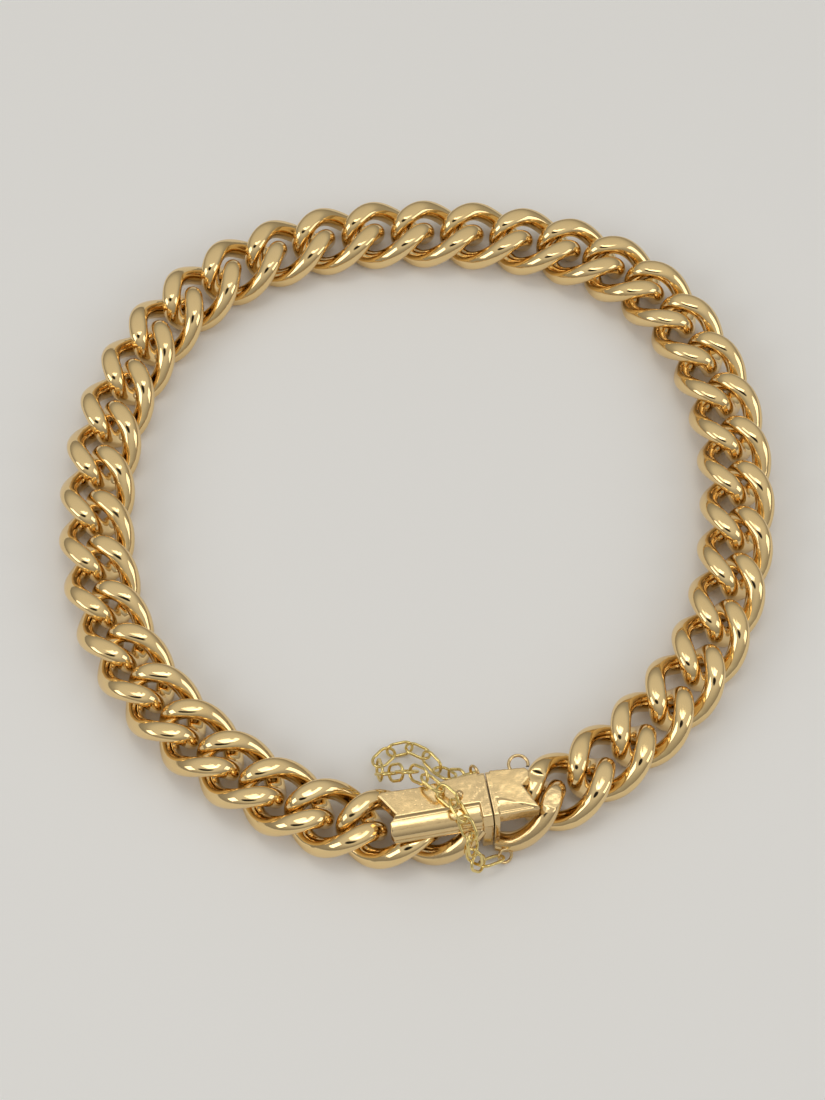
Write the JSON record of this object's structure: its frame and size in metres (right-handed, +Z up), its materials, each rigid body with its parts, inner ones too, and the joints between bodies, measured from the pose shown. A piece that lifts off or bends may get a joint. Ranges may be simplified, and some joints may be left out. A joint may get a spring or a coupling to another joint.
{
  "type": "chain bracelet",
  "caption": "Gold curb link bracelet lying in a closed loop, fastened by a flat-topped box clasp with a fine safety chain over it.",
  "frame": {"origin": "on the surface the bracelet lies on, under the middle of its bounding box", "axes": "+Z up, away from the surface; -Y towards the clasp side, which faces the viewer; +X to the viewer's right"},
  "size_m": [0.0682, 0.0722, 0.0078],
  "materials": {
    "gold": "polished gold",
    "fine_gold": "polished gold"
  },
  "bodies": {
    "root": {"link_01": "gold", "link_02": "gold", "link_03": "gold", "link_04": "gold", "link_05": "gold", "link_06": "gold", "link_07": "gold", "link_08": "gold", "link_09": "gold", "link_10": "gold", "link_11": "gold", "link_12": "gold", "link_13": "gold", "link_14": "gold", "link_15": "gold", "link_16": "gold", "link_17": "gold", "link_18": "gold", "link_19": "gold", "link_20": "gold", "link_21": "gold", "link_22": "gold", "link_23": "gold", "link_24": "gold", "link_25": "gold", "link_26": "gold", "link_27": "gold", "link_28": "gold", "link_29": "gold", "link_30": "gold", "link_31": "gold", "link_32": "gold", "link_33": "gold", "link_34": "gold", "link_35": "gold", "link_36": "gold", "link_37": "gold", "link_38": "gold", "clasp_box": "gold", "clasp_tongue": "gold", "push_bead": "gold", "safety_chain": "fine_gold"}
  },
  "joints": []
}
